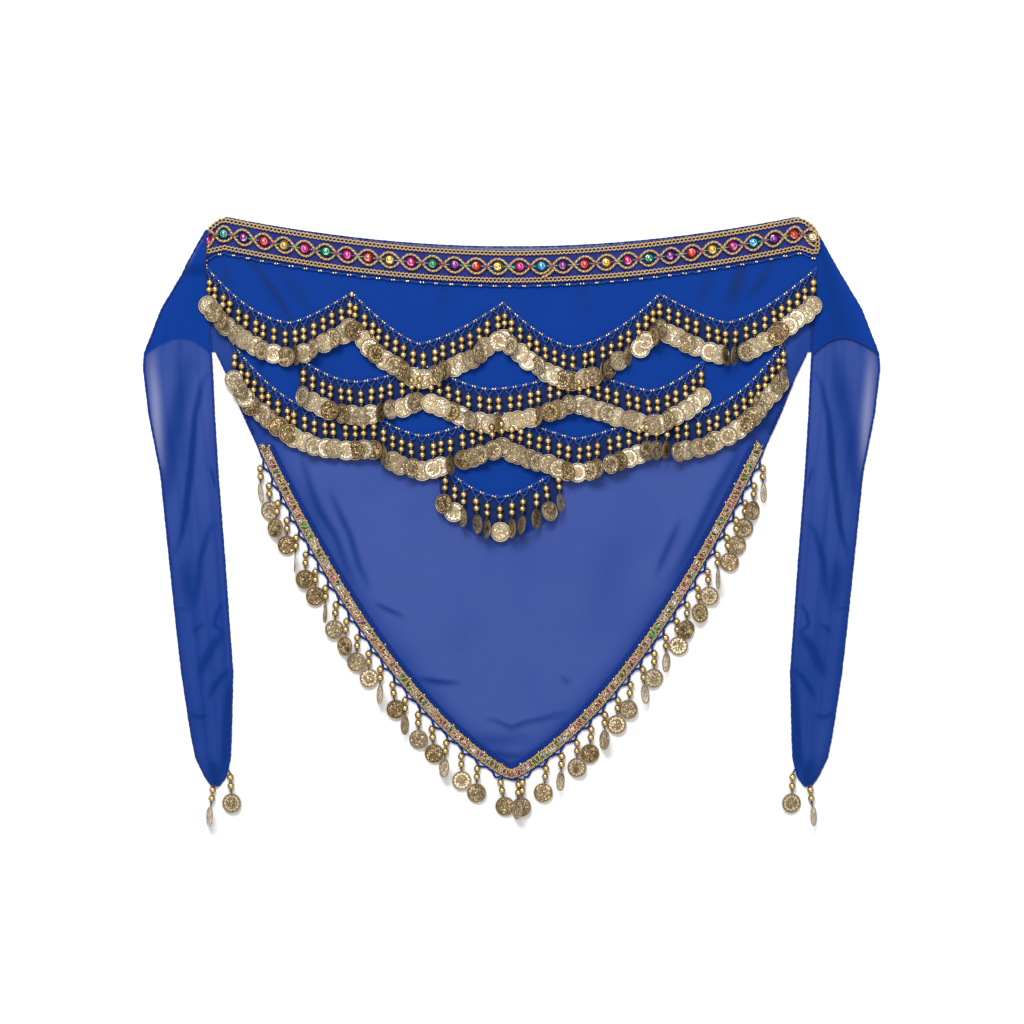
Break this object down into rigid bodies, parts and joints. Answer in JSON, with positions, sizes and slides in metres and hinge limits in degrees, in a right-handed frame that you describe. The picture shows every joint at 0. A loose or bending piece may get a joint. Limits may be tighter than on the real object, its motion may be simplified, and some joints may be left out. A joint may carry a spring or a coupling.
{
  "type": "belly dance hip scarf",
  "caption": "Blue chiffon hip scarf laid flat: jewelled gold waist band, scalloped rows of gold coins, a V hem with sequin braid and coin fringe, and a long tie at each side.",
  "frame": {"origin": "centre of the bounding box at its base, on the surface that the scarf lies on", "axes": "+X along the waist, to the right of someone looking at the face of the scarf; +Y from the point of the V towards the waist; +Z out of the face, up"},
  "size_m": [0.642, 0.5321, 0.01],
  "materials": {
    "blue_chiffon": "sheer royal blue chiffon",
    "navy_ribbon": "dark woven ribbon",
    "gold_thread": "metallic gold cord and chain braid",
    "blue_crochet": "bright blue crochet thread",
    "gold_coins": "stamped, pale gold plated, with dark recesses",
    "glass_gems": "glossy coloured glass beads",
    "sequin_braid": "gold lace with coloured sequins"
  },
  "bodies": {
    "root": {"coin_row_1": "gold_coins", "coin_row_2": "gold_coins", "coin_row_3": "gold_coins", "coin_row_4": "gold_coins", "edge_braid": "sequin_braid", "edge_cord": "blue_crochet", "fringe_left": "gold_coins", "fringe_right": "gold_coins", "gem_01": "glass_gems", "gem_02": "glass_gems", "gem_03": "glass_gems", "gem_04": "glass_gems", "gem_05": "glass_gems", "gem_06": "glass_gems", "gem_07": "glass_gems", "gem_08": "glass_gems", "gem_09": "glass_gems", "gem_10": "glass_gems", "gem_11": "glass_gems", "gem_12": "glass_gems", "gem_13": "glass_gems", "gem_14": "glass_gems", "gem_15": "glass_gems", "gem_16": "glass_gems", "gem_17": "glass_gems", "gem_18": "glass_gems", "gem_19": "glass_gems", "gem_20": "glass_gems", "gem_21": "glass_gems", "gem_22": "glass_gems", "gem_23": "glass_gems", "gem_24": "glass_gems", "gem_25": "glass_gems", "gem_26": "glass_gems", "gem_27": "glass_gems", "gem_28": "glass_gems", "gem_29": "glass_gems", "gem_30": "glass_gems", "left_tie_drop_inner": "gold_coins", "left_tie_drop_outer": "gold_coins", "left_tie_extension": "blue_chiffon", "left_tie_strip": "blue_chiffon", "main_panel": "blue_chiffon", "right_tie_drop_inner": "gold_coins", "right_tie_drop_outer": "gold_coins", "right_tie_extension": "blue_chiffon", "right_tie_strip": "blue_chiffon", "waist_band": "navy_ribbon", "waist_chain_bottom": "gold_thread", "waist_chain_top": "gold_thread", "waist_cord": "blue_crochet", "yoke_panel": "blue_chiffon"}
  },
  "joints": []
}
